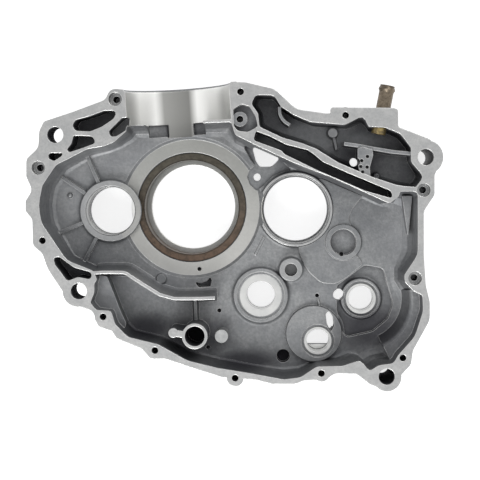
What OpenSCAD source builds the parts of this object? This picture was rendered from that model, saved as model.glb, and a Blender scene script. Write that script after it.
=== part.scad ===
// Crankcase half of a single-cylinder engine, lying on its outer cover face
// with the joint face up. The origin is the middle of the crank bearing seat.
// Every depth below is measured down from the joint face.

/* [Case] */
// Depth of the half, from the joint face to the outer cover face
case_depth = 60; // [56:1:70]
// Thickness of the joint flange
flange_t = 9; // [6:0.5:12]
// How far the outer wall is set back under the joint flange
wall_inset = 1.5; // [1:0.25:2.5]
// Depth of the main chamber's floor
chamber_depth = 28; // [24:0.5:30]
// Depth of the floor's outer skin
skin_depth = 38; // [37:0.5:42]
// Depth of the breather chamber's floor
breather_depth = 27; // [20:1:32]
// Depth of the long narrow slot
slot_depth = 33; // [20:1:35]
// Depth of the lightening pockets
pocket_depth = 24; // [15:1:24]
// Core diameter of the threaded joint bolt holes
bolt_core_d = 5; // [4:0.1:6]
// Depth of the threaded joint bolt holes
bolt_hole_depth = 22; // [12:1:26]
// Outer diameter of the joint bolt columns
bolt_column_d = 12.5; // [11:0.5:15]
// Depth of the joint bolt columns
bolt_column_depth = 28; // [28:1:34]

/* [Cylinder mouth] */
// Diameter of the bore for the cylinder liner
mouth_d = 77; // [70:0.5:80]
// Distance of the cylinder deck from the crank axis
deck_height = 91.5; // [89:0.5:95]
// Lean of the cylinder axis
cylinder_lean = 4; // [0:0.5:6]
// Wall of the barrel around the mouth
barrel_wall = 6; // [5:0.5:8]
// Distance from the crank axis to the inner end of the machined bore
spigot_end = 64; // [60:1:70]
// Lead-in chamfer of the bore at the deck
deck_chamfer = 1.8; // [0.5:0.1:3]
// Length of the tongue that runs on below the spigot end
tongue_length = 10; // [6:0.5:12]
// How much deeper the rough reliefs beside the tongue lie
relief_drop = 2.5; // [1:0.25:3]

/* [Crank seat] */
// Outer diameter of the main bearing
crank_bearing_d = 72; // [66:0.5:74]
// Width of the main bearing
crank_bearing_w = 19; // [16:0.5:21]
// Wall of the cast-in liner
liner_wall = 5.5; // [3:0.1:5.5]
// Width of the lip that stops the bearing
crank_lip = 3.5; // [2:0.5:6]
// Thickness of that lip
crank_lip_t = 4; // [2:0.5:5]
// Diameter of the recess for the crank web
web_recess_d = 108; // [104:0.5:110]
// Depth of the web recess below the chamber floor
web_recess = 2; // [1:0.25:4]

/* [Gearbox seats] */
// Outer diameter of the mainshaft bearing
main_bearing_d = 52; // [42:0.5:54]
// Width of the mainshaft bearing
main_bearing_w = 15; // [12:0.5:18]
// Outer diameter of the raised ring around the mainshaft bearing
main_ring_d = 57.5; // [57:0.5:60]
// Outer diameter of the balancer bearing
balancer_bearing_d = 37; // [30:0.5:38]
// Width of the balancer bearing
balancer_bearing_w = 12; // [10:0.5:16]
// Outer diameter of the layshaft bush
layshaft_bush_d = 32; // [28:0.5:34]
// Bore of the layshaft bush
layshaft_bore_d = 21.5; // [18:0.5:24]
// Outer diameter of the selector drum bush
drum_bush_d = 21; // [18:0.5:23]
// Bore of the selector drum bush
drum_bore_d = 17.5; // [12:0.5:17.5]
// Outer diameter of the selector shaft bush
shift_bush_d = 23; // [20:0.5:25]
// Bore of the selector shaft bush
shift_bore_d = 19; // [14:0.5:19]
// Width of the lip behind the mainshaft bearing
seat_lip = 1.5; // [1:0.25:2]
// Width of the relief around a bush
relief_w = 2; // [1:0.25:2.5]
// Depth of that relief
relief_t = 1.5; // [0.5:0.25:2]

/* [Mounts] */
// Diameter of the engine mounting holes
lug_bore_d = 12; // [10:0.5:13]
// Outer diameter of the right mounting lug
lug_d = 26; // [22:0.5:28]
// Outer diameter of the lower mounting lug
lower_lug_d = 22; // [20:0.5:24]
// Outer diameter of the short mounting lugs
short_lug_d = 24; // [20:0.5:26]
// Depth of the long mounting lugs
long_lug = 57; // [45:1:60]
// Depth of the short mounting lugs
short_lug = 27; // [26:0.5:32]
// Depth of the spot face on the back of a short lug
spot_face = 0.5; // [0.25:0.25:1]

/* [Breather pipe] */
// Outer diameter of the breather pipe
pipe_d = 11; // [8:0.5:13]
// Wall of the breather pipe
pipe_wall = 1.2; // [0.8:0.1:2]
// Length of pipe outside the case
pipe_out = 17; // [10:1:30]
// Length of pipe inside the case
pipe_in = 20; // [12:1:22]
// Depth of the pipe's axis
pipe_depth = 9.5; // [8:0.5:11]
// Height of the bead that holds the hose
bead = 0.9; // [0.5:0.1:1.5]

/* [Outer side] */
// Thickness of the cover rim
rim_wall = 6; // [4:0.5:8]
// Thickness of the stiffening ribs
rib_t = 4; // [3:0.5:6]
// Outer diameter of the cover bolt bosses
cover_boss_d = 15; // [12:0.5:17]

/* [Hidden] */
$fn = 64;
eps = 0.5;
press_clear = 0.02;
seat_chamfer = 0.7;
crank_face = chamber_depth + web_recess;
crank_back = crank_face + crank_bearing_w + crank_lip_t;
joint_z = crank_face + crank_bearing_w / 2;
liner_d = crank_bearing_d + 2 * liner_wall;
main_face = chamber_depth - 2;
main_back = main_face + main_bearing_w + 3;
balancer_face = chamber_depth - 6;
balancer_back = balancer_face + balancer_bearing_w + 8;
layshaft_face = chamber_depth - 4;
drum_face = chamber_depth - 4;
bowl_drop = 5;
shift_boss_h = 5;
shift_face = chamber_depth + bowl_drop - shift_boss_h;
bush_back = skin_depth + 6;
bush_end = bush_back - 3;
drum_bush_set = 0.5;

// Shaft axes
main_at = [79.5, -1.5];
balancer_at = [-61, -2.5];
layshaft_at = [53, -67];
drum_at = [96.5, -101.5];
shift_at = [129.5, -69.8];

// Corners of the outer outline, each with its radius, counter-clockwise from
// the left corner of the cylinder deck
function deck_point(across) = deck_height * [-sin(cylinder_lean), cos(cylinder_lean)]
    + across * [cos(cylinder_lean), sin(cylinder_lean)];
mouth_shift = -2.5;
tongue_span = [-12, 8];
relief_spans = [[-26, -11.5], [7.5, 17.5]];
deck_left = deck_point(mouth_shift - mouth_d / 2 - 2.5);
deck_right = deck_point(mouth_shift + mouth_d / 2 + 0.8);
case_outline = [
    [deck_left.x, deck_left.y, 2], [-58, 89, 6], [-62, 80.5, 6], [-86, 71.5, 10],
    [-107.5, 64.5, 4], [-111, 57, 10], [-111.5, 45, 8], [-120.5, 36.5, 5], [-120.5, 23.5, 5],
    [-116, 13.5, 6], [-121, 5.5, 3], [-121, -2, 3], [-116, -8, 6], [-115.5, -27.5, 5],
    [-108.5, -33.5, 8], [-104.5, -45, 30], [-87.5, -70.5, 10], [-71, -76.5, 5], [-67, -88, 5],
    [-56.5, -91.5, 2.5], [-53, -97, 5], [-34.5, -104.5, 6], [-28, -112, 3], [-17, -112, 8],
    [-1, -117.5, 20], [24.5, -125.5, 6], [49.5, -127.5, 10], [61.5, -130.5, 8],
    [78.5, -130.5, 8], [85, -128, 6], [102, -127, 5], [108.5, -122.5, 8], [124.5, -123, 6],
    [134.5, -131, 5], [146.5, -134.5, 8], [157, -124.5, 8], [165, -116, 6],
    [166.5, -105.5, 8], [179, -83, 14], [179, -69.5, 12], [176, -57, 20], [174.5, -34.5, 20],
    [174.5, -2, 8], [182.5, 10, 5], [182.5, 24.5, 4], [188.5, 39, 10], [179, 51.5, 6],
    [155.5, 60.5, 2], [155.5, 74.5, 3], [105.5, 75, 1.5], [105.5, 70.5, 1], [101.5, 70.5, 6],
    [80, 73.5, 14], [64, 88.5, 12], [42.5, 93.5, 10], [deck_right.x, deck_right.y, 1]
];

// The main chamber at the joint face, and the same corners at its floor
chamber_rim = [
    [-45.5, 61, 1], [-46.5, 57, 2], [-55.5, 49, 3], [-63, 46, 3], [-75, 44, 8], [-98.5, 32, 8],
    [-108.5, 17, 10], [-111.5, 2, 30], [-109, -11, 14],
    [-90.5, -38.5, 12], [-70.5, -46.5, 4], [-68, -53, 2], [-70, -56, 2], [-70, -62.5, 5],
    [-73, -70, 2], [-68.5, -75.5, 3], [-57.5, -76, 3], [-54.5, -86, 6], [-45, -95.5, 8],
    [-22.5, -101, 8], [-1, -113, 16], [21.5, -118.5, 12], [46, -122.5, 12], [70.5, -127, 10],
    [83, -125.5, 10], [95, -117.5, 6], [114, -117, 8], [126.5, -113, 3], [130, -115.5, 2],
    [134, -121, 2.5], [141, -116.5, 8], [152, -115, 4], [155.5, -109, 5], [168, -95, 18],
    [174, -76, 14], [173.5, -64.5, 3], [167, -61.5, 3], [160.5, -55, 2], [160, -49.5, 3],
    [170, -34.5, 12], [170, 12.5, 3], [157, 12.5, 1.5], [156, 9, 2], [149, 3.5, 3],
    [108.5, 22, 30], [77.5, 34, 20], [49.5, 47, 10], [34.5, 54.5, 4], [31.5, 64, 2]
];
chamber_floor = [
    [-40, 52, 2], [-43, 50, 2], [-53, 44.5, 3], [-62, 41, 3], [-75, 37, 6], [-92.5, 26, 6],
    [-100.5, 14.5, 8], [-103, 1.5, 20], [-100.5, -13.5, 10],
    [-89, -36.5, 8], [-70.5, -45.5, 4], [-64.5, -53.5, 2], [-61.5, -59, 2], [-59, -63, 3],
    [-56, -68, 3], [-53.5, -73, 3], [-50.5, -79, 3], [-47.5, -86.5, 5], [-41.5, -93, 5],
    [-22, -97.5, 6], [1, -109, 12], [21, -114, 10], [45, -119, 10], [69.5, -121.5, 8],
    [82, -120.5, 8], [96, -116.5, 6], [108.5, -113, 6], [114, -110, 3], [118, -108.5, 2],
    [121.5, -106.5, 2.5], [125, -103.5, 5], [132, -101.5, 4], [137.5, -98, 5],
    [148, -90, 10], [155.5, -79.5, 10], [156, -71.5, 4], [154, -65.5, 4], [150.5, -56.5, 4],
    [150.5, -43.5, 4], [152.5, -33, 10], [154, -7.5, 3], [151.5, -3.5, 2], [148, -1, 3],
    [140, 1.5, 6], [103, 19, 20], [73, 28.5, 12], [45, 37.5, 8], [32.5, 44.5, 4],
    [23, 52.5, 4]
];

// The breather chamber at the joint face and at its floor
breather_rim = [
    [46.5, 77.5, 3], [51.5, 70.5, 3], [52.5, 60.5, 3], [69.5, 52.5, 8], [85, 48, 6],
    [95, 44, 6], [111, 34, 10], [135.5, 23.5, 6], [153.5, 17.5, 6], [168, 15, 3],
    [174.5, 23.5, 4], [165, 34.5, 4], [165, 45, 4], [157, 55.5, 8], [145.5, 60, 4],
    [133.5, 60.5, 2], [129.5, 69, 4], [123, 65.5, 2], [116, 62, 4], [90.5, 64, 10],
    [77.5, 69.5, 6], [68.5, 75.5, 3], [63.5, 84, 5], [49.5, 84, 3]
];
breather_floor = [
    [51.5, 77.5, 3], [55, 72, 3], [56.5, 63.5, 3], [70.5, 57, 6], [85.5, 52.5, 5],
    [98, 47.5, 5], [113, 38.5, 8], [139.5, 26.5, 6], [156, 21, 6], [167, 18.5, 3],
    [171.5, 24, 4], [164.5, 35.5, 4], [164, 44.5, 4], [157, 52.5, 6], [148, 56.5, 4],
    [135.5, 57.5, 2], [130.5, 64.5, 3], [125.5, 62, 2], [119, 59.5, 4], [93.5, 61.5, 8],
    [78.5, 67, 5], [69.5, 73.5, 3], [63, 82, 4], [53, 82.5, 3]
];
cavity_hole_at = [124, 34.5];
cavity_hole_d = 6.5;

// The long slot between the breather chamber and the gearbox
slot = [
    [48, 50.5, 2], [68.5, 43, 3], [71.5, 40, 4], [95, 28.5, 12], [131, 13, 12],
    [152, 7, 2.5], [150, 13, 3], [117.5, 26.5, 12], [99.5, 34.5, 6], [89.5, 43, 6],
    [71.5, 47.5, 6], [61.5, 54, 6], [50, 58, 2]
];

// Lightening pockets on the left, and a shallower one beside the mouth
pockets = [
    [[-84, 57.5, 3], [-73, 57, 4], [-64.5, 60.5, 5], [-55.5, 66.5, 5], [-53, 72.5, 3],
        [-62.5, 72.5, 5], [-73, 68.5, 8], [-84, 65.5, 3], [-86.5, 61.5, 3]],
    [[-87, 48, 3], [-90.5, 43.5, 1.2], [-88.5, 41.5, 1.5], [-79.5, 44.5, 6],
        [-68.5, 48.5, 2], [-71.5, 53.5, 3], [-85.5, 54, 1.2]],
    [[-104, 37, 1.8], [-100, 35, 1.8], [-94.5, 38.5, 2], [-93, 41, 1.2], [-104, 41, 1.8]],
    [[-99, -42, 5], [-90, -54, 2], [-82, -51, 5], [-72, -53, 2.5], [-72, -47.5, 2.5],
        [-85, -44, 8], [-96, -36, 2], [-100.5, -36.5, 2.5]]
];
mouth_pocket = [
    [-59.4, 57.1, 2], [-58, 53.1, 2], [-53.8, 53.3, 3], [-44.8, 59, 1], [-44.8, 67.3, 1],
    [-49.3, 67.3, 3]
];
mouth_pocket_depth = 18;
// Step around the inner joint bolt
bolt_step = [
    [33, 73.4, 2], [39.2, 77.3, 3], [45.4, 75.6, 3], [49.8, 68.3, 4], [51.5, 60.5, 2],
    [43.7, 56.6, 3], [36.4, 57.5, 3], [33.6, 61, 3]
];
bolt_step_depth = 6;

// The deeper bowl around the selector shaft
bowl = [
    [111, -78.5, 6], [114, -92, 6], [118, -99.5, 4], [138.5, -95, 10], [150.3, -85, 8],
    [154.3, -73.5, 8], [149.3, -57.5, 8], [147, -46.5, 5], [132.5, -44, 5], [119, -54, 4],
    [111, -60, 4]
];

// Openings through the floor
window = [
    [46, 47, 1.5], [49, 35.7, 3], [51.9, 31.1, 3], [61.2, 31.2, 5], [66.7, 36.6, 1.5],
    [65.9, 38.4, 1]
];
window_hole_at = [50, 23];
window_hole_d = 5.5;
// Lowered floor that holds the window and the small hole
window_dip = [
    [38.5, 48.5, 2], [45.6, 35.7, 4], [48.5, 32.2, 2], [43.9, 28.1, 3], [42.5, 23.5, 3],
    [44.5, 17.7, 3], [49.7, 12.5, 2], [55.5, 16.6, 4], [61.3, 22.9, 6], [69.4, 27, 6],
    [77, 28.2, 1], [68, 37.2, 2], [48.5, 46.5, 2]
];
window_dip_depth = 3;
// Dark slot beside the sump wall
oil_slot = [
    [5.5, -61, 1.5], [14.5, -60.5, 1], [15.5, -56, 1], [14.5, -53, 0.8], [11.5, -56.5, 1],
    [7, -58, 1.5], [2, -56.5, 1]
];
// Small oil holes in the floor
oil_hole_d = 3;
oil_holes = [[5.9, -47.3], [21.2, -78.8], [12.6, -106.9], [114.6, -35.7], [96, -67.3]];
crescent = [
    [103.5, -89.5, 6], [106, -95, 1], [109, -90.5, 4], [108, -83.5, 6], [104.5, -78.5, 1],
    [102.5, -81.5, 1.5]
];
pin_hole_at = [112.5, -67];
pin_hole_d = 8.5;

// Joint bolts, and those that also hold a locating dowel
joint_bolts = [
    [38.5, 86.5], [116.5, 69], [159, -111], [98.5, -122.5], [34.5, -126],
    [-25, -105.5], [-63.5, -80.5], [-108.5, -24]
];
dowel_bolts = [[-54.5, 81], [168, -52], [-111.5, 30], [174.5, 13.5]];
dowel_d = 10;
dowel_depth = 8;
inner_bolt = [38, 66.2];
inner_bolt_boss_d = 11;
inner_bolt_top = 1.5;

// Mounting lugs
right_lug = [176, 38];
lower_lug = [147, -125];
short_lugs = [[-99, 54.5], [-81.5, -61.5]];
short_lug_turn = [150, 225];

// Dividing walls that stand up to the joint face: points of their middle line
sump_wall = [[-71, -48], [-64, -47.5], [-47.5, -47.5], [-34.5, -56], [-21.5, -64], [-11, -67],
    [8, -67], [19.5, -66.5]];
slot_wall = [[49.5, 59], [60.5, 55], [71.5, 49.5], [88.5, 45], [101, 36.5], [117.5, 28.5],
    [138, 19.5], [153.5, 15.5], [171.5, 14]];
breather_rib = [[115.5, 48], [123.5, 47], [137, 44.5], [151.5, 42], [167.5, 40.5]];
baffle = [[67.5, 75.5], [67.5, 70], [70.5, 65], [75, 62]];
branch_wall = [
    [125.5, 44.5, 1], [125.5, 37, 2], [126.5, 28, 2], [130, 24.5, 1], [135, 23, 1],
    [134.5, 30.5, 2], [137, 39.5, 2], [136.5, 43.5, 1], [129.5, 45.5, 1]
];

// Small pits in the top of the branch wall
branch_pits = [[132.8, 38.5], [128.5, 35.4], [127.8, 31], [132.5, 30.6], [129.2, 27.1]];
branch_pit_d = 2.6;
branch_pit_depth = 6;

// Oil passage tube and the parts beside it
oil_tube_at = [4.5, -95];
oil_tube_d = 19;
oil_tube_bore = 14.8;
oil_ear_at = [-11.5, -92.5];
oil_ear_d = 7;
stop_pin_at = [23.5, -97];
stop_pin_d = 10;
stop_pin_top = 16;
stop_pin_end = chamber_depth + 6;
blind_boss_at = [76, -47];
blind_boss_d = 18;
blind_boss_bore = 9.5;
blind_boss_top = 18;
small_recess_at = [116, -26.5];
small_recess_d = 23;
small_recess_ring = 5;
small_recess_step = 3;
drain_hole_at = [70, -113.5];
drain_hole_d = 10;

// Disc around the selector drum, and the web behind the lower half of its bore
drum_disc_at = [93.5, -96.2];
drum_disc_d = 43;
drum_web_top = -106.7;
drum_web_foot = -114;
drum_web_w = 28;
drum_web_t = 7;
// Raised floor between the mainshaft seat and the bowl
plateau = [
    [130.5, 8.5, 1], [123, -0.7, 6], [119.5, -8.8, 6], [122.4, -14.5, 4], [125.9, -36.4, 4],
    [131, -43, 3], [119, -53.3, 3], [110, -58.3, 8], [99.4, -57.8, 10], [90.1, -49.7, 14],
    [84.9, -41.1, 14], [82.6, -34.1, 3], [77.4, -1.9, 3], [98.2, 22.4, 3]
];
plateau_rise = 1.2;
// Shelf in the left corner of the sump
sump_shelf = [
    [-62.5, -51.5, 2], [-58, -62.9, 8], [-52.8, -76.6, 8], [-47.7, -87.9, 4], [-50.5, -92, 2],
    [-65, -81.5, 2], [-76, -69.7, 3], [-75.5, -50, 3]
];
sump_shelf_depth = 14;
// Terrace in the wall of the bowl
terrace_sector = [shift_at, [188, -57], [188, -125], [154.9, -124.2]];
terrace_profile = [[18, -42], [28, -34], [29.5, -31.5], [36, -16], [37, -14.8], [38.5, -14],
    [56, -13.5], [56, -42]];
// Round nubs on the floors: place, diameter, depth of the top, depth of the foot
nubs = [
    [[107.7, 56.6], 8, breather_depth - 9, breather_depth],
    [[140.9, 23.8], 5, breather_depth - 7, breather_depth],
    [[80.3, -107.8], 4.5, chamber_depth - 2.5, chamber_depth],
    [[-23, -54.5], 8, chamber_depth - 1.5, chamber_depth]
];
nub_foot = 1.5;
// Low ridges: both ends, width and depth of the top, width and depth of the foot
ridges = [
    [[3.1, -70], [3.7, -88], [2, chamber_depth - 3.5], [6, chamber_depth + 1]],
    [[55.6, -22.6], [48.6, -36.4], [1.4, chamber_depth - 0.8], [4, chamber_depth + 1]],
    [[96.6, -70], [98.6, -77.5], [1.2, chamber_depth - 1.5], [3.5, chamber_depth + 1]],
    [[108.1, 55], [110.6, 44], [1.8, breather_depth - 7], [4, breather_depth + 1]]
];
// Buttress that tapers along the right wall
buttress = [[159.8, 9, 0.5], [167.5, 9, 0.5], [164.4, -24, 0.5]];
buttress_top = 16;
floor_dome_at = [-92.8, 9.1];
floor_dome_d = 4.5;

// Breather pipe: where it leaves the case, and its turn towards the right
pipe_at = [145.2, 75];
pipe_turn = 11;
bead_w = 4;
bead_from = 5;

// Rings around the seats on the inside, the walls of the outside bosses, and
// the ribs around the crank boss
inner_ring_w = 5;
shift_ring_w = 4;
seat_wall = 6;
bush_wall = 4;
crank_ribs = [100, 145, 215, 250, 290, 330];
rib_reach = 20;

// Outer cover rim
cover_outline = [
    [-92, 36, 16], [-96, -30, 22], [-66, -72, 16], [-22, -96, 16], [30, -116, 20],
    [80, -122, 16], [122, -116, 14], [160, -92, 22], [171, -60, 20], [170, 2, 14],
    [146, 16, 14], [98, 50, 22], [58, 66, 16], [10, 62, 24], [-40, 62, 24], [-76, 58, 14]
];
cover_bolts = [
    [-88, 32], [-91, -28], [-62, -70], [-20, -93], [30, -112], [80, -118], [120, -112],
    [158, -88], [166.5, -40], [150, 12], [96, 46], [56, 61], [-72, 54]
];
cover_hole_depth = 16;

// Geometry helpers
function unit(v) = v / norm(v);
function xy(p) = [p.x, p.y];
// Arc of steps + 1 points that rounds the corner b between a and c. A corner
// that lies on a straight line gets as many points along the line.
function corner_arc(a, b, c, r, steps) =
    let (u = unit(a - b), v = unit(c - b))
    norm(u + v) < 0.02 ? [for (i = [0:steps]) b + u * (0.5 - i / steps)] :
    let (half = acos(u * v) / 2,
        reach = min(r / tan(half), 0.48 * min(norm(a - b), norm(c - b))),
        true_r = reach * tan(half),
        middle = b + unit(u + v) * true_r / sin(half),
        from = b + u * reach - middle, to = b + v * reach - middle,
        start = atan2(from.y, from.x),
        sweep = atan2(from.x * to.y - from.y * to.x, from * to))
    [for (i = [0:steps]) let (q = start + sweep * i / steps)
        middle + true_r * [cos(q), sin(q)]];
// Closed outline with every corner rounded by its own radius
function rounded(corners, steps = 3) =
    let (n = len(corners))
    [for (i = [0:n - 1]) each corner_arc(xy(corners[(i + n - 1) % n]), xy(corners[i]),
        xy(corners[(i + 1) % n]), corners[i][2], steps)];
// Open path with its bends rounded
function bent(path, r, steps = 3) =
    let (last = len(path) - 1)
    [path[0], for (i = [1:last - 1]) each corner_arc(path[i - 1], path[i], path[i + 1], r, steps),
        path[last]];
// Outline of a strip of the given half width along a path
function side_of(path, i, half) =
    let (last = len(path) - 1,
        along = unit(path[min(i + 1, last)] - path[max(i - 1, 0)]))
    path[i] + half * [-along.y, along.x];
function strip(path, half) =
    let (last = len(path) - 1)
    concat([for (i = [0:last]) side_of(path, i, -half)],
        [for (i = [last:-1:0]) side_of(path, i, half)]);

// Closed outline pushed outwards by a small distance
function pushed(line, by) =
    let (n = len(line))
    [for (i = [0:n - 1]) let (along = unit(line[(i + 1) % n] - line[(i + n - 1) % n]))
        line[i] + by * [along.y, -along.x]];

// Upright slab of an outline between two depths
module slab(corners, from, to, grow = 0, steps = 3) {
    translate([0, 0, -to])
        linear_extrude(to - from)
            if (grow == 0) polygon(rounded(corners, steps));
            else offset(delta = grow) polygon(rounded(corners, steps));
}

// Straight-walled pit of an outline, open at the joint face
module pit(corners, depth) {
    slab(corners, -eps, depth, steps = 2);
}

// Sloping bank inside a pit: its face falls from the rim outline and curves
// into the floor outline
module bank(rim, floor, depth, steps = 5, bulge = 0.7, start = 0.6, sink = 0.3) {
    top = rounded(rim, 2);
    base = rounded(floor, 2);
    behind = pushed(top, start);
    n = len(top);
    face_rings = [for (j = [0:steps])
        let (q = 90 * j / steps, across = 1 - pow(cos(q), bulge), down = pow(sin(q), bulge),
            line = j == 0 ? pushed(top, 0.15) : top + (base - top) * across)
        [for (p = line) [p.x, p.y, -start - (depth + sink - start) * down]]];
    rings = concat(face_rings, [for (z = [-depth - sink, -start]) [for (p = behind) [p.x, p.y, z]]]);
    m = len(rings);
    polyhedron(
        points = [for (ring = rings) each ring],
        faces = [for (j = [0:m - 1], i = [0:n - 1]) let (k = (i + 1) % n, next = (j + 1) % m)
            [next * n + i, next * n + k, j * n + k, j * n + i]],
        convexity = 12);
}

// Wall along a path, from a list of its width at each depth
module wall(path, levels, bend = 8) {
    line = bent(path, bend);
    n = 2 * len(line);
    m = len(levels);
    rings = [for (level = levels) [for (p = strip(line, level[0] / 2)) [p.x, p.y, -level[1]]]];
    polyhedron(
        points = [for (ring = rings) each ring],
        faces = concat(
            [for (j = [0:m - 2], i = [0:n - 1]) let (k = (i + 1) % n, a = j * n, b = a + n)
                [a + i, a + k, b + k, b + i]],
            [for (i = [0:n / 2 - 2]) [n - 1 - i, n - 2 - i, i + 1, i]],
            let (b = (m - 1) * n)
                [for (i = [0:n / 2 - 2]) [b + i, b + i + 1, b + n - 2 - i, b + n - 1 - i]]),
        convexity = 8);
}

// Turned boss with a filleted foot
module boss(at, d, top, base, foot = 3) {
    r = d / 2;
    translate(at) rotate_extrude()
        polygon(concat(
            [[0, -base - 1], [r + foot, -base - 1]],
            [for (q = [0:22.5:90]) [r + foot - foot * sin(q), -base + foot * (1 - cos(q))]],
            [[r, -top - 0.6], [r - 0.6, -top], [0, -top]]));
}

// Upright cylinder between two depths, as a column or a hole
module upright(at, d, from, to) {
    translate([at.x, at.y, -to]) cylinder(d = d, h = to - from);
}

module at_joint() {
    translate([0, 0, joint_z]) children();
}

// Cylinder on the leaning cylinder axis, between two distances from the crank
module barrel(d, from, to) {
    along_cylinder(from) rotate([-90, 0, 0]) cylinder(d = d, h = to - from, $fn = 96);
}

module along_cylinder(from) {
    rotate(cylinder_lean) translate([mouth_shift, from, 0]) children();
}

// Bore for the cylinder liner: machined down to the spigot end, with a tongue
// that runs on and rough reliefs on both sides of it
module mouth_bore() {
    barrel(mouth_d, spigot_end, deck_height + 5);
    along_cylinder(deck_height - deck_chamfer) rotate([-90, 0, 0])
        cylinder(d1 = mouth_d, d2 = mouth_d + 4 * deck_chamfer, h = 2 * deck_chamfer, $fn = 96);
    tongue_end = spigot_end - tongue_length;
    intersection() {
        barrel(mouth_d, tongue_end, spigot_end + eps);
        along_cylinder(tongue_end - 1) strip_cutter(tongue_span);
    }
    for (span = relief_spans)
        intersection() {
            barrel(mouth_d + 2 * relief_drop, tongue_end + 1, spigot_end + eps);
            along_cylinder(tongue_end) strip_cutter(span);
        }
}

// Block between two places across the mouth, that limits a cut to that strip
module strip_cutter(span) {
    translate([span[0], 0, -mouth_d]) cube([span[1] - span[0], tongue_length + 2, mouth_d + 1]);
}

module lower_half_only() {
    intersection() {
        children();
        translate([-150, 0, -case_depth]) cube([300, 200, case_depth]);
    }
}

// Outer body: joint flange, wall under it, columns, lugs and the cover rim
module body_blank() {
    slab(case_outline, 0, flange_t);
    slab(case_outline, flange_t - eps, skin_depth, -wall_inset);
    lower_half_only() barrel(mouth_d + 2 * barrel_wall, 48, deck_height);
    for (at = concat(joint_bolts, dowel_bolts)) upright(at, bolt_column_d, 0, bolt_column_depth);
    upright(right_lug, lug_d, 0, long_lug);
    upright(lower_lug, lower_lug_d, 0, long_lug);
    for (at = short_lugs) upright(at, short_lug_d, 0, short_lug + spot_face);
    difference() {
        slab(cover_outline, skin_depth - eps, case_depth);
        slab(cover_outline, skin_depth - eps, case_depth + eps, -rim_wall);
    }
    for (at = cover_bolts) upright(at, cover_boss_d, skin_depth - eps, case_depth);
}

// Outside bosses around the shafts, with ribs around the crank boss and a web
// behind the lower half of the drum bore
module outer_bosses() {
    upright([0, 0], liner_d + 2 * seat_wall, skin_depth - eps, crank_back);
    upright(main_at, main_bearing_d + 2 * seat_wall, skin_depth - eps, main_back);
    upright(balancer_at, balancer_bearing_d + 2 * seat_wall, skin_depth - eps, balancer_back);
    upright(layshaft_at, layshaft_bush_d + 2 * bush_wall, skin_depth - eps, bush_back);
    upright(drum_at, drum_bush_d + 2 * bush_wall, skin_depth - eps, bush_back);
    upright(shift_at, shift_bush_d + 2 * bush_wall, skin_depth - eps, bush_back);
    for (turn = crank_ribs)
        rotate(turn) translate([liner_d / 2 + 4, -rib_t / 2, -crank_back + 3])
            cube([rib_reach, rib_t, crank_back - 3 - skin_depth + eps]);
    translate([drum_at.x - drum_web_w / 2, drum_web_foot, -bush_back - drum_web_t + 1])
        cube([drum_web_w, drum_web_top - drum_web_foot, drum_web_t]);
}

// Everything cut from the blank before the inner walls are added
module hollows() {
    pit(chamber_rim, chamber_depth);
    pit(breather_rim, breather_depth);
    pit(slot, slot_depth);
    for (p = pockets) pit(p, pocket_depth);
    pit(mouth_pocket, mouth_pocket_depth);
    pit(bolt_step, bolt_step_depth);
    slab(bowl, chamber_depth - 1, chamber_depth + bowl_drop);
    for (i = [0:1]) lug_relief(short_lugs[i], short_lug_turn[i]);
}

// Spot-faces the back of a short lug and clears the case away under it
module lug_relief(at, turn) {
    translate([at.x, at.y, -case_depth]) rotate(turn) {
        h = case_depth - short_lug;
        cylinder(d = short_lug_d - 3, h = h);
        translate([0, -(short_lug_d - 3) / 2, 0]) cube([2 * short_lug_d, short_lug_d - 3, h]);
    }
}

// Walls, ribs and bosses that stand in the hollows
module inner_forms() {
    sump_end = sump_wall[len(sump_wall) - 1];
    floor_under = chamber_depth + 1;
    bank(chamber_rim, chamber_floor, chamber_depth);
    bank(breather_rim, breather_floor, breather_depth, 4);
    wall(sump_wall, [[2.4, 0], [4, chamber_depth - 6], [7, chamber_depth - 2], [12, floor_under]]);
    upright(sump_end, 7, 0, floor_under);
    wall(slot_wall, [[3, 0], [4, slot_depth + 1]]);
    wall(breather_rib, [[2.6, 3], [4, breather_depth + 1]]);
    wall(baffle, [[2.2, 4], [4, breather_depth + 1]]);
    slab(branch_wall, 1, breather_depth + 1);
    upright(inner_bolt, inner_bolt_boss_d, inner_bolt_top, bolt_step_depth + 1);
    slab(plateau, chamber_depth - plateau_rise, chamber_depth + eps);
    slab(sump_shelf, sump_shelf_depth, floor_under);
    terrace();
    boss(main_at, main_ring_d, main_face, chamber_depth, 2);
    boss(balancer_at, balancer_bearing_d + 2 * inner_ring_w, balancer_face, chamber_depth, 3);
    boss(layshaft_at, layshaft_bush_d + 2 * inner_ring_w, layshaft_face, chamber_depth, 3);
    boss(drum_disc_at, drum_disc_d, drum_face, chamber_depth + 1, 2);
    boss(shift_at, shift_bush_d + 2 * shift_ring_w, shift_face, chamber_depth + bowl_drop, 2);
    boss(blind_boss_at, blind_boss_d, blind_boss_top, chamber_depth, 2.5);
    boss(small_recess_at, small_recess_d + small_recess_ring, chamber_depth - plateau_rise - 1.5, chamber_depth, 1);
    for (n = nubs) boss(n[0], n[1], n[2], n[3], nub_foot);
    translate([floor_dome_at.x, floor_dome_at.y, -chamber_depth]) sphere(d = floor_dome_d);
    upright(oil_tube_at, oil_tube_d, 0, floor_under);
    upright(oil_ear_at, oil_ear_d, 0, floor_under);
    wall([oil_ear_at, oil_tube_at], [[5, 0], [7, floor_under]]);
    for (r = ridges) wall([r[0], r[1]], [r[2], r[3]]);
    slab(buttress, buttress_top, floor_under);
    for (q = [114, 146, 203, 242]) balancer_rib(q);
}

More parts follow.
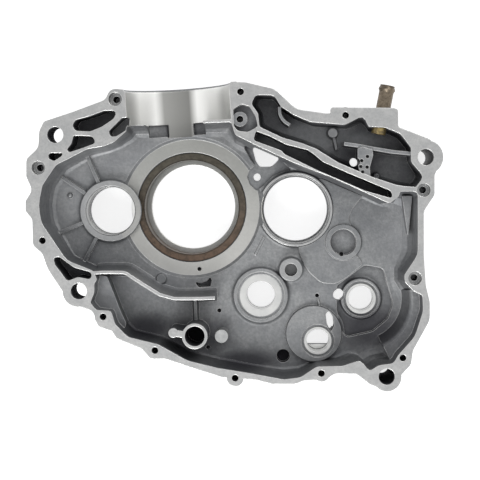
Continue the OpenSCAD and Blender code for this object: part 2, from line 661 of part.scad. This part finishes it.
module terrace() {
    intersection() {
        translate(shift_at) rotate_extrude() polygon(terrace_profile);
        translate([0, 0, -case_depth]) linear_extrude(case_depth) polygon(terrace_sector);
        slab(chamber_rim, 0, chamber_depth + bowl_drop + 1, 0.4, 2);
    }
}

// Rib that falls away from the balancer boss
module balancer_rib(turn) {
    translate(balancer_at) rotate(turn) rotate([90, 0, 0])
        translate([0, 0, -1.3]) linear_extrude(2.6)
            polygon([[20, -chamber_depth - 1], [20, -balancer_face - 1], [46, -chamber_depth + 2],
                [46, -chamber_depth - 1]]);
}

// Seat of a bearing with a lip behind it and a lead-in chamfer
module seat(at, d, from, depth, lip, back) {
    upright(at, d, from - eps, from + depth);
    upright(at, d - 2 * lip, from, back + eps);
    translate([at.x, at.y, -from - seat_chamfer])
        cylinder(d1 = d, d2 = d + 4 * seat_chamfer, h = 2 * seat_chamfer);
}

// Seat of a bush, with a relief around its rim
module bush_seat(at, d, bore, from) {
    upright(at, d + 2 * relief_w, from - eps, from + relief_t);
    upright(at, d, from, bush_end);
    upright(at, bore, from, bush_back + eps);
}

module bores() {
    translate([0, 0, -crank_face])
        cylinder(d1 = web_recess_d - 4, d2 = web_recess_d + 8, h = 6);
    mouth_bore();
    slab(window_dip, chamber_depth - 3, chamber_depth + window_dip_depth);
    slab(oil_slot, chamber_depth - 5, skin_depth - 2);
    seat([0, 0], liner_d, crank_face, crank_bearing_w, liner_wall + crank_lip, crank_back);
    seat(main_at, main_bearing_d, main_face, main_bearing_w, seat_lip, main_back);
    seat(balancer_at, balancer_bearing_d, balancer_face, balancer_bearing_w, seat_lip / 2,
        balancer_back);
    bush_seat(layshaft_at, layshaft_bush_d, layshaft_bore_d, layshaft_face);
    bush_seat(drum_at, drum_bush_d, drum_bore_d, drum_face);
    bush_seat(shift_at, shift_bush_d, shift_bore_d, shift_face);
    for (at = concat(joint_bolts, dowel_bolts)) upright(at, bolt_core_d, -eps, bolt_hole_depth);
    for (at = dowel_bolts) upright(at, dowel_d, -eps, dowel_depth);
    upright(inner_bolt, bolt_core_d, 0, bolt_hole_depth);
    for (at = branch_pits) upright(at, branch_pit_d, 0, branch_pit_depth);
    for (at = [right_lug, lower_lug]) upright(at, lug_bore_d, -eps, long_lug + eps);
    for (at = short_lugs) upright(at, lug_bore_d, -eps, short_lug + eps);
    for (at = cover_bolts) upright(at, bolt_core_d, case_depth - cover_hole_depth, case_depth + eps);
    upright(oil_tube_at, oil_tube_bore, -eps, chamber_depth);
    upright(blind_boss_at, blind_boss_bore, blind_boss_top - eps, chamber_depth + 2);
    upright(small_recess_at, small_recess_d - small_recess_step, chamber_depth - 3, chamber_depth + 3);
    upright(drain_hole_at, drain_hole_d, chamber_depth - 10, skin_depth - 3);
    for (at = oil_holes) upright(at, oil_hole_d, chamber_depth - 5, skin_depth - 2);
    for (h = [[window_hole_at, window_hole_d], [pin_hole_at, pin_hole_d],
        [cavity_hole_at, cavity_hole_d]])
        upright(h[0], h[1], 0, case_depth);
    slab(window, chamber_depth - 8, case_depth);
    slab(crescent, chamber_depth - 5, case_depth);
    upright(stop_pin_at, stop_pin_d, chamber_depth - 1, stop_pin_end);
    pipe_bore();
}

module pipe_axis() {
    translate([pipe_at.x, pipe_at.y, -pipe_depth]) rotate([0, 0, -pipe_turn]) rotate([-90, 0, 0])
        children();
}

module pipe_bore() {
    pipe_axis() translate([0, 0, -pipe_in]) cylinder(d = pipe_d + 2 * press_clear, h = pipe_in + bead_from);
}

module casting() {
    color([0.72, 0.72, 0.71]) at_joint() difference() {
        union() {
            difference() {
                union() {
                    body_blank();
                    outer_bosses();
                }
                hollows();
            }
            inner_forms();
        }
        bores();
    }
}

// Tube pressed into a seat
module press_ring(at, outer_d, inner_d, from, to) {
    color([0.35, 0.32, 0.28]) at_joint() difference() {
        upright(at, outer_d - 2 * press_clear, from, to);
        upright(at, inner_d, from - eps, to + eps);
    }
}

module crank_liner() {
    press_ring([0, 0], liner_d, crank_bearing_d, crank_face, crank_face + crank_bearing_w);
}

module layshaft_bush() {
    press_ring(layshaft_at, layshaft_bush_d, layshaft_bore_d, layshaft_face + relief_t, bush_end);
}

module drum_bush() {
    press_ring(drum_at, drum_bush_d, drum_bore_d, drum_face + drum_bush_set, bush_end);
}

module shift_bush() {
    press_ring(shift_at, shift_bush_d, shift_bore_d, shift_face, bush_end);
}

module breather_pipe() {
    color([0.5, 0.45, 0.3]) at_joint() pipe_axis() difference() {
        union() {
            translate([0, 0, -pipe_in]) cylinder(d = pipe_d, h = pipe_in + pipe_out);
            translate([0, 0, pipe_out - bead_from]) rotate_extrude()
                polygon([[0, 0], [pipe_d / 2, 0], [pipe_d / 2 + bead, bead_w / 2],
                    [pipe_d / 2, bead_w], [0, bead_w]]);
        }
        translate([0, 0, -pipe_in - eps]) cylinder(d = pipe_d - 2 * pipe_wall,
            h = pipe_in + pipe_out + 2 * eps);
    }
}

module stop_pin() {
    color([0.8, 0.8, 0.8]) at_joint()
        upright(stop_pin_at, stop_pin_d - 2 * press_clear, stop_pin_top, stop_pin_end);
}

casting();
crank_liner();
layshaft_bush();
drum_bush();
shift_bush();
breather_pipe();
stop_pin();
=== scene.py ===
import math

import bpy
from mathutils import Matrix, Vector


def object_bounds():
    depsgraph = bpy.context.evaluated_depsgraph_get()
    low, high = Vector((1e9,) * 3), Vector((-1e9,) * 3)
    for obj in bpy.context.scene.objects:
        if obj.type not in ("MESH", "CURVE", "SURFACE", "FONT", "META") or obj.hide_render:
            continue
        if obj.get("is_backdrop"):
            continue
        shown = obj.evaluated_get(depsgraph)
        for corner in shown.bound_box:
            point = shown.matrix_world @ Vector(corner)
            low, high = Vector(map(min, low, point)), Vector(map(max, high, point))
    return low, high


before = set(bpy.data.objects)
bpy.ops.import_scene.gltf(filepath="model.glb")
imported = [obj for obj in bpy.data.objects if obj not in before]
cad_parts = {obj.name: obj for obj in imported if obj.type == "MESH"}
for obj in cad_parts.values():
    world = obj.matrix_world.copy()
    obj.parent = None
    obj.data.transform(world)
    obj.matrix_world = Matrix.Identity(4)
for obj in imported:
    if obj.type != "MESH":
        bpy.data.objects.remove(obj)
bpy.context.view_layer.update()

# Facts of the solids: sizes and places in millimetres, the lean in radians
JOINT_Z = 39.5
CASE_DEPTH = 60
CASE_MIDDLE = (34, -20)
CYLINDER_LEAN = math.radians(4)
MOUTH_SHIFT = -2.5
MOUTH_R = 38.5
DECK = 91.5
SPIGOT_END = 64
TONGUE_MIDDLE = -2
TONGUE_HALF = 10.2
TONGUE_LENGTH = 11
DOWEL_DEPTH = 8
CRANK_RING_R = 56
LINER_OUTER_R = 41.5
LINER_BORE_R = 36
PIPE_INSIDE_Y = 66
PIPE_BEAD_Y = 89

# Machined bores, and those for locating dowels: centre x, y and radius
BORES = [(79.5, -1.5, 26), (-61, -2.5, 18.5), (0, 0, 32.5)]
DOWEL_BORES = [(-54.5, 81, 5), (168, -52, 5), (-111.5, 30, 5), (174.5, 13.5, 5)]
# Depths of the web behind the drum bore and of the shoulder behind the balancer bore
WEB_DEPTH = 44.5
SHOULDER_DEPTH = 42.5
# Depths of the machined faces that no cast floor shares, and how bright each was left
FACE_TONES = [(0, 1), (8, 0.7), (18, 0.35), (22, 0.4), (26, 0.9), (30, 0.6), (WEB_DEPTH, 1),
              (SHOULDER_DEPTH, 1), (49, 0.5)]
# Faces of the bosses around the bushes: depth and brightness
BUSH_FACE = (24, 0.08)
# Face of the boss around the shift bush: centre x, y, radius, depth and brightness
SHIFT_BOSS = (129.5, -69.8, 15, 28, 0.08)
# Darker patches in the sump and in the bowl: centre x, y, half width and half height
DARKER_PATCHES = [(-34, -92, 24, 13), (2, -99, 34, 21), (42, -117, 32, 10), (136, -92, 34, 26)]
# Patches of the banks and floors spared most of the darkening and tinted paler as painted light, given
# in the same way
LIGHTER_PATCHES = [(-98, 2, 34, 46), (-60, 40, 40, 15), (164, -16, 20, 40), (-62, -64, 17, 24),
                 (94, 54, 34, 15), (128, 50, 18, 8), (-24, -56, 38, 12), (60, 49, 16, 9)]
# Deep round wells, painted dark as painted shade: centre x, y, radius and depth of the rim
WELLS = [(4.5, -95, 7.6, 1), (70, -113.5, 5.2, 26), (-99, 54.5, 6.3, 2), (-81.5, -61.5, 6.3, 2),
         (147, -125, 6.3, 3)]
# Painted reflection across the bored mouth, from left to right: share of its width and grey
BORE_PAINTED_REFLECTION = [(0.0, 185), (0.1, 255), (0.24, 255), (0.32, 158), (0.57, 132), (0.65, 250),
              (0.85, 250), (1.0, 215)]

# How many millimetres a point may lie from a face, a bore or the mouth and count as on it
FACE_FIT = 0.12
BORE_FIT = 0.3
MOUTH_FIT = 0.4
# How many millimetres before the spigot's end and before the deck the machining starts
SPIGOT_FIT = 0.5
DECK_FIT = 0.15
# How squarely a face looks up when it counts as flat, and when its edge gets the painted highlight
FLAT = 0.9
LEVEL = 0.97
# How many millimetres from a corner the painted shade reaches
CORNER_REACH = 22
# How much the darker patches are darkened, and how much painted shade covers the steep banks, the
# corners and the wells
PATCH_DARKENING = 0.86
BANK_PAINTED_SHADE = 0.36
CORNER_PAINTED_SHADE = 0.82
WELL_PAINTED_SHADE = 0.95
# How much of that darkening a lighter patch is spared, and how far it turns to the paler colour of its
# painted light
DARKENING_SPARED = 0.85
PAINTED_LIGHT_SHARE = 0.2


def ink(red, green, blue):
    """A colour as the eye reads it, from 0 to 255, made linear."""
    def channel(c):
        c = c / 255
        return c / 12.92 if c < 0.04045 else ((c + 0.055) / 1.055) ** 2.4
    return (channel(red), channel(green), channel(blue), 1)


# Colours of the casting
CAST_DARK = ink(124, 126, 128)
CAST_PALE = ink(154, 155, 155)
CAST_GRAIN = ink(104, 106, 109)
# paler grey of the painted light on the lighter patches
CAST_PAINTED_LIGHT = ink(170, 171, 174)
CUT_DARK = ink(168, 169, 169)
CUT_PALE = ink(186, 186, 185)
CUT_SPECKS = ink(146, 147, 148)
# near white, painted light on the faces deep behind the bores
DEEP_FACE_PAINTED_LIGHT = ink(246, 246, 244)
# painted light and painted shade: the crank ring is lighter at the bottom and darker at the top
CRANK_RING_PAINTED_LIT = ink(205, 204, 199)
CRANK_RING_PAINTED_SHADE = ink(169, 169, 163)
# dark grey of the darker patches and of the painted shade
PATCH_AND_SHADE_DARK = ink(41, 40, 47)
# painted highlight on the rounded edges of level faces
EDGE_PAINTED_HIGHLIGHT = ink(226, 226, 224)

# Colours of the pressed-in pieces
LINER_OLIVE = ink(84, 80, 71)
LINER_BROWN = ink(104, 86, 73)
LINER_STREAKS = ink(54, 50, 44)
LINER_RIMS = ink(44, 41, 36)
BUSH_DARK = ink(196, 197, 196)
BUSH_PALE = ink(212, 212, 210)
PIN_DARK = ink(160, 161, 161)
PIN_PALE = ink(184, 185, 184)
PIPE_INSIDE = ink(176, 156, 104)
PIPE_OUTSIDE = ink(130, 118, 102)
PIPE_STAIN = ink(88, 79, 68)
PIPE_RUBBED = ink(62, 56, 49)


class Field:
    """One output of a shader tree. Arithmetic on it adds Math nodes."""

    def __init__(self, tree, socket=None):
        self.tree = tree
        self.socket = socket

    def node(self, kind, settings=None, inputs=None, out=0):
        """Adds a node: its settings first, then the values or links of its sockets."""
        made = self.tree.nodes.new("ShaderNode" + kind)
        for name, value in (settings or {}).items():
            if name == "stops":
                ramp = made.color_ramp.elements
                while len(ramp) < len(value):
                    ramp.new(0.5)
                for stop, (at, colour) in zip(ramp, value):
                    stop.position = at
                    stop.color = colour
            else:
                setattr(made, name, value)
        for key, value in (inputs or {}).items():
            if isinstance(value, Field):
                self.tree.links.new(value.socket, made.inputs[key])
            else:
                made.inputs[key].default_value = value
        return Field(self.tree, made.outputs[out]) if made.outputs else None

    def math(self, operation, *values):
        return self.node("Math", {"operation": operation}, dict(enumerate(values)))

    def vector(self, operation, *values, out=0):
        return self.node("VectorMath", {"operation": operation}, dict(enumerate(values)), out)

    def __add__(self, other):
        return self.math("ADD", self, other)

    __radd__ = __add__

    def __sub__(self, other):
        return self.math("SUBTRACT", self, other)

    def __rsub__(self, other):
        return self.math("SUBTRACT", other, self)

    def __mul__(self, other):
        return self.math("MULTIPLY", self, other)

    __rmul__ = __mul__

    def __truediv__(self, other):
        return self.math("DIVIDE", self, other)

    def __pow__(self, power):
        return self.math("POWER", self, power)

    def either(self, other):
        return self.math("MAXIMUM", self, other)

    def lesser(self, other):
        return self.math("MINIMUM", self, other)

    def above(self, level):
        return self.math("GREATER_THAN", self, level)

    def near(self, level, fit):
        return self.math("COMPARE", self, level, fit)

    def over(self, level, soft):
        """1 where the value is above a level, 0 below it, with a soft step."""
        return self.node("MapRange", {"interpolation_type": "SMOOTHSTEP"}, {
            "Value": self, "From Min": level - soft, "From Max": level + soft})

    def spread(self, low, high):
        """Maps 0..1 to low..high."""
        return self * (high - low) + low

    def tint(self, first, second):
        """A colour between two colours, by this value."""
        return self.node("Mix", {"data_type": "RGBA"}, {0: self, 6: first, 7: second}, out=2)


class Place(Field):
    """Where a point of the surface lies, in millimetres, and how it faces."""

    def __init__(self, tree, edge):
        super().__init__(tree)
        metres = self.node("TexCoord", out="Object")
        self.mm = self.vector("MULTIPLY", metres, (1000, 1000, 1000))
        self.x, self.y, z = [self.node("SeparateXYZ", None, {0: self.mm}, axis) for axis in "XYZ"]
        self.depth = JOINT_Z - z
        self.plan = self.vector("MULTIPLY", self.mm, (1, 1, 0))
        self.facing = self.node("TexCoord", out="Normal")
        self.up = self.node("SeparateXYZ", None, {0: self.facing}, "Z")
        self.rounded = self.node("Bevel", {"samples": 6}, {"Radius": edge / 1000})

    def flat(self):
        """1 where the surface looks up squarely."""
        return self.up.above(FLAT)

    def distance(self, x, y):
        """Distance from an upright axis."""
        return self.vector("DISTANCE", self.plan, (x, y, 0), out="Value")

    def within(self, x, y, r):
        """1 inside an upright cylinder."""
        return 1 - self.distance(x, y).above(r)

    def inward(self, x, y):
        """1 where the surface faces a point of the plan, 0 where it faces away, up or down."""
        way = self.vector("SUBTRACT", (x, y, 0), self.plan)
        return self.vector("DOT_PRODUCT", self.facing, way, out="Value").above(0.5)

    def patches(self, ovals):
        """1 inside any of the oval patches, with soft rims."""
        inside = 0
        for x, y, wide, high in ovals:
            shrunk = self.vector("MULTIPLY", self.plan, (1 / wide, 1 / high, 0))
            reach = self.vector("DISTANCE", shrunk, (x / wide, y / high, 0), out="Value")
            inside = (1 - reach.over(0.75, 0.5)).either(inside)
        return inside

    def noise(self, size, detail=3, roughness=0.5, stretch=None):
        """Cloudy value of a size in millimetres."""
        where = self.vector("MULTIPLY", self.mm, stretch) if stretch else self.mm
        return self.node("TexNoise", None, {
            "Vector": where, "Scale": 1 / size, "Detail": detail, "Roughness": roughness})


class CastingPlace(Place):
    """A place on the casting. Its mouth, machined faces and wells are worked out once."""

    def __init__(self, tree, edge):
        super().__init__(tree, edge)
        lean_cos = math.cos(CYLINDER_LEAN)
        lean_sin = math.sin(CYLINDER_LEAN)
        self.across = self.x * lean_cos + self.y * lean_sin - MOUTH_SHIFT
        along = self.y * lean_cos - self.x * lean_sin
        tongue = self.across.near(TONGUE_MIDDLE, TONGUE_HALF) * TONGUE_LENGTH
        radius = (self.across * self.across + self.depth * self.depth) ** 0.5
        spigot = (along + tongue).above(SPIGOT_END - SPIGOT_FIT)
        self.mouth = radius.near(MOUTH_R, MOUTH_FIT) * spigot
        deck = along.above(DECK - DECK_FIT)
        cover = self.depth.near(CASE_DEPTH, FACE_FIT)
        self.machined = (self.bores() + self.faces() + self.mouth + deck + cover).lesser(1)
        self.wells = 0
        for x, y, r, rim in WELLS:
            self.wells = (self.within(x, y, r) * self.depth.above(rim)).either(self.wells)

    def bores(self):
        """1 on the walls of the machined bores."""
        mask = 0
        for x, y, r in DOWEL_BORES:
            mask = self.distance(x, y).near(r, BORE_FIT) + mask
        mask = mask * (1 - self.depth.above(DOWEL_DEPTH))
        for x, y, r in BORES:
            mask = self.distance(x, y).near(r, BORE_FIT) + mask
        return mask

    def faces(self):
        """How bright each machined face is, where it looks up."""
        depth, tone = BUSH_FACE
        mask = self.depth.near(depth, FACE_FIT) * self.x.above(0) * tone
        for depth, tone in FACE_TONES:
            mask = self.math("MULTIPLY_ADD", self.depth.near(depth, FACE_FIT), tone, mask)
        x, y, r, depth, tone = SHIFT_BOSS
        boss = self.depth.near(depth, FACE_FIT) * self.within(x, y, r)
        return self.math("MULTIPLY_ADD", boss, tone, mask) * self.flat()


def finish_of(name, colour, rough, metal, relief, edge, place_of=Place):
    """A metal finish. Relief is (value, height) pairs. Heights and edge radius are in mm."""
    material = bpy.data.materials.new(name)
    material.use_nodes = True
    tree = material.node_tree
    tree.nodes.clear()
    place = place_of(tree, edge)
    normal = place.rounded
    for value, height in relief(place):
        normal = place.node("Bump", None, {
            "Height": value, "Distance": height / 1000, "Strength": 1.0, "Normal": normal})
    shader = place.node("BsdfPrincipled", None, {
        "Base Color": colour(place), "Roughness": rough(place), "Metallic": metal(place),
        "Normal": normal})
    place.node("OutputMaterial", None, {"Surface": shader})
    return material


# Casting

def as_cast(place):
    """The skin that the mould left, with its grain."""
    cloud = place.noise(26, 4, 0.6).over(0.5, 0.25)
    grain = place.noise(2.2, 4, 0.65).over(0.5, 0.2)
    return (grain * 0.5).tint(cloud.tint(CAST_DARK, CAST_PALE), CAST_GRAIN)


def as_cut(place):
    """The machined faces, with the paler ring around the crank painted lighter towards the bottom as
    painted light, and the faces deep behind the bores painted near white as painted light.
    """
    cut = place.noise(9, 3).over(0.5, 0.3).tint(CUT_DARK, CUT_PALE)
    specks = place.noise(1.5, 3, 0.7).over(0.54, 0.12)
    cut = (specks * 0.35).tint(cut, CUT_SPECKS)
    # painted light: the ring around the crank is lighter towards the bottom
    crank_ring = place.y.over(0, 50).tint(CRANK_RING_PAINTED_LIT, CRANK_RING_PAINTED_SHADE)
    cut = place.within(0, 0, CRANK_RING_R).tint(cut, crank_ring)
    # painted light: the faces deep behind the drum and balancer bores turn near white
    behind_bores = place.depth.near(WEB_DEPTH, FACE_FIT) + place.depth.near(SHOULDER_DEPTH, FACE_FIT)
    return (behind_bores * place.flat()).tint(cut, DEEP_FACE_PAINTED_LIGHT)


def mouth_painted_reflection(place):
    """Painted reflection: the bands of light and dark that a bored half cylinder shows."""
    share = place.across / (2 * MOUTH_R) + 0.5
    stops = [(at, ink(grey, grey, grey - 3)) for at, grey in BORE_PAINTED_REFLECTION]
    return place.node("ValToRGB", {"stops": stops}, {0: share})


def casting_darkening(place, lighter_patch, below):
    """Darker patches, and painted shade on the steep banks, in the corners and in the wells."""
    # darker patches in the sump and in the bowl
    darkened = place.patches(DARKER_PATCHES)
    # painted shade on the steep banks that face the middle of the case
    steep = (1 - place.up).over(0.45, 0.4) * place.inward(*CASE_MIDDLE)
    # painted shade in the corners, from ambient occlusion
    open_air = place.node("AmbientOcclusion", {"samples": 8, "only_local": True}, {
        "Distance": CORNER_REACH / 1000}, "AO")
    corner = 1 - open_air.over(0.42, 0.32)
    darkening = (darkened * PATCH_DARKENING).either(steep * BANK_PAINTED_SHADE).either(corner * CORNER_PAINTED_SHADE)
    # painted shade fills the deep wells
    return (darkening * (1 - lighter_patch * DARKENING_SPARED) * below).either(place.wells * WELL_PAINTED_SHADE)


def casting_colour(place):
    surface = place.machined.tint(as_cast(place), as_cut(place))
    # painted reflection in the bored mouth
    surface = place.mouth.tint(surface, mouth_painted_reflection(place))
    below = place.depth.over(3, 3) * (1 - place.machined)
    # patches spared the darkening, with painted light
    lighter_patch = place.patches(LIGHTER_PATCHES)
    surface = (lighter_patch * below * PAINTED_LIGHT_SHARE).tint(surface, CAST_PAINTED_LIGHT)
    # darker patches and painted shade
    surface = casting_darkening(place, lighter_patch, below).tint(surface, PATCH_AND_SHADE_DARK)
    # painted highlight along the rounded edges of level faces
    true_normal = place.node("NewGeometry", out="True Normal")
    edge_match = place.vector("DOT_PRODUCT", place.rounded, true_normal, out="Value")
    edge_highlight = (1 - edge_match).over(0.06, 0.05) * place.up.above(LEVEL)
    return (edge_highlight * 0.7).tint(surface, EDGE_PAINTED_HIGHLIGHT)


def casting_rough(place):
    cast = place.noise(3.5, 3).spread(0.42, 0.62)
    cut = place.noise(4, 3, stretch=(1, 1, 0.2)).spread(0.24, 0.4)
    return (cast * (1 - place.machined) + cut * place.machined).either(place.wells)


def casting_metal(place):
    return (place.machined - place.mouth * 0.8).spread(0.5, 0.85) * (1 - place.wells)


def casting_relief(place):
    cast = 1 - place.machined
    cutter_marks = place.math("SINE", place.distance(0, 0) * 2.4)
    return [(place.noise(1.1, 3, 0.6) * cast, 0.16), (place.noise(7, 2) * cast, 0.35),
            (cutter_marks * place.machined, 0.006)]


casting_finish = finish_of(
    "cast_aluminium", casting_colour, casting_rough, casting_metal, casting_relief,
    edge=0.9, place_of=CastingPlace)


# Pressed-in pieces

def liner_colour(place):
    low = (place.y * -1).over(8, 40)
    streaks = place.noise(3.5, 5, 0.7).over(0.52, 0.14)
    darkened = (streaks * 0.6).tint(low.tint(LINER_OLIVE, LINER_BROWN), LINER_STREAKS)
    radius = place.distance(0, 0)
    outer_rim = radius.over(LINER_OUTER_R - 0.5, 0.5)
    inner_rim = 1 - radius.over(LINER_BORE_R + 0.9, 0.5)
    return (outer_rim.either(inner_rim) * 0.7 * place.flat()).tint(darkened, LINER_RIMS)


def pipe_colour(place):
    outside = place.y.over(PIPE_INSIDE_Y, 3)
    stained = place.noise(3.2, 4, 0.6).over(0.5, 0.22)
    plated = (stained * 0.75).tint(outside.tint(PIPE_INSIDE, PIPE_OUTSIDE), PIPE_STAIN)
    tip = place.y.over(PIPE_BEAD_Y, 1.2)
    rubbed = place.noise(1.4, 3).over(0.6, 0.15).either(tip * 0.9)
    return (rubbed * 0.6).tint(plated, PIPE_RUBBED)


liner_finish = finish_of(
    "oiled_iron", liner_colour,
    rough=lambda place: place.noise(4, 3).spread(0.32, 0.5),
    metal=lambda place: place.noise(6, 2).spread(0.6, 0.8),
    relief=lambda place: [(place.noise(2, 3), 0.05)], edge=0.4)

bush_finish = finish_of(
    "turned_bush",
    colour=lambda place: place.noise(9, 3).over(0.5, 0.3).tint(BUSH_DARK, BUSH_PALE),
    rough=lambda place: place.noise(9, 2).spread(0.28, 0.4),
    metal=lambda place: place.noise(8, 1).spread(0.6, 0.8),
    relief=lambda place: [(place.noise(6, 2), 0.03)], edge=0.3)

pin_finish = finish_of(
    "ground_pin",
    colour=lambda place: place.noise(3, 3).over(0.5, 0.3).tint(PIN_DARK, PIN_PALE),
    rough=lambda place: place.noise(2.5, 2).spread(0.3, 0.42),
    metal=lambda place: place.noise(8, 1).spread(0.7, 0.85),
    relief=lambda place: [(place.noise(0.9, 3), 0.02)], edge=0.4)

pipe_finish = finish_of(
    "zinc_yellow_plate", pipe_colour,
    rough=lambda place: place.noise(2.4, 3).spread(0.28, 0.46),
    metal=lambda place: place.noise(5, 2).spread(0.7, 0.9),
    relief=lambda place: [(place.noise(0.8, 3), 0.02)], edge=0.3)

FINISHES = {
    "casting": casting_finish, "crank_liner": liner_finish, "layshaft_bush": bush_finish,
    "drum_bush": bush_finish, "shift_bush": bush_finish, "breather_pipe": pipe_finish,
    "stop_pin": pin_finish}
for node, finish in FINISHES.items():
    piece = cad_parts[node]
    piece.data.materials.clear()
    piece.data.materials.append(finish)


# Floor, light and camera, in metres

FLOOR_REACH = 4.0
# Softboxes: name, place, width and power in watts
SOFTBOXES = [("front_softbox", (-0.25, -0.95, 0.85), 0.7, 12),
             ("back_softbox", (0.6, 0.85, 0.8), 0.6, 4)]
LAMP_AIM = (0.034, -0.02, 0.01)
# The camera that matches the photo: place, lens in millimetres and shift of the picture
CAMERA_PLACE = (0.0717, 0.0235, 0.9495)
CAMERA_LENS = 92
CAMERA_SHIFT = (-0.0943, -0.132)
# Greys of the floor and of the air, as they light the casting and as they are seen
PAPER = (0.8, 0.8, 0.8, 1)
PAPER_UNLIT = (0, 0, 0, 1)
PAPER_SEEN = (0.78, 0.78, 0.78, 1)
AIR_LIGHT = (0.38, 0.38, 0.39, 1)
AIR_SEEN = (1, 1, 1, 1)


def seen_directly(field):
    """1 for a ray from the camera, from a shiny surface or through a clear one."""
    camera = field.node("LightPath", out="Is Camera Ray")
    shiny = field.node("LightPath", out="Is Glossy Ray")
    clear = field.node("LightPath", out="Is Transmission Ray")
    return camera.either(shiny).either(clear)


def studio_floor():
    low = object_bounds()[0][2]
    mesh = bpy.data.meshes.new("studio_floor")
    corners = [(x * FLOOR_REACH, y * FLOOR_REACH, low) for x, y in ((-1, -1), (1, -1), (1, 1), (-1, 1))]
    mesh.from_pydata(corners, [], [(0, 1, 2, 3)])
    floor = bpy.data.objects.new("studio_floor", mesh)
    bpy.context.scene.collection.objects.link(floor)
    paper = bpy.data.materials.new("pale_paper")
    paper.use_nodes = True
    paper.node_tree.nodes.clear()
    field = Field(paper.node_tree)
    glow = seen_directly(field).tint(PAPER_UNLIT, PAPER_SEEN)
    shader = field.node("BsdfPrincipled", None, {
        "Base Color": PAPER, "Roughness": 0.8, "Specular IOR Level": 0.0,
        "Emission Color": glow, "Emission Strength": 1.0})
    field.node("OutputMaterial", None, {"Surface": shader})
    mesh.materials.append(paper)
    floor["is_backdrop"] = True


def studio_air():
    world = bpy.data.worlds.new("studio_air")
    world.use_nodes = True
    world.node_tree.nodes.clear()
    field = Field(world.node_tree)
    air = field.node("Background", None, {
        "Color": seen_directly(field).tint(AIR_LIGHT, AIR_SEEN), "Strength": 1.0})
    field.node("OutputWorld", None, {"Surface": air})
    bpy.context.scene.world = world


def softbox(name, stand, size, power):
    lamp = bpy.data.lights.new(name, "AREA")
    lamp.size = size
    lamp.energy = power
    held = bpy.data.objects.new(name, lamp)
    bpy.context.scene.collection.objects.link(held)
    held.location = stand
    way = Vector(LAMP_AIM) - Vector(stand)
    held.rotation_euler = way.to_track_quat("-Z", "Y").to_euler()


def photo_camera():
    lens = bpy.data.cameras.new("camera")
    lens.sensor_width = 36
    lens.lens = CAMERA_LENS
    lens.shift_x, lens.shift_y = CAMERA_SHIFT
    camera = bpy.data.objects.new("camera", lens)
    bpy.context.scene.collection.objects.link(camera)
    camera.location = CAMERA_PLACE
    bpy.context.scene.camera = camera


studio_floor()
studio_air()
for name, stand, size, power in SOFTBOXES:
    softbox(name, stand, size, power)
photo_camera()
bpy.context.scene.view_settings.view_transform = "Standard"
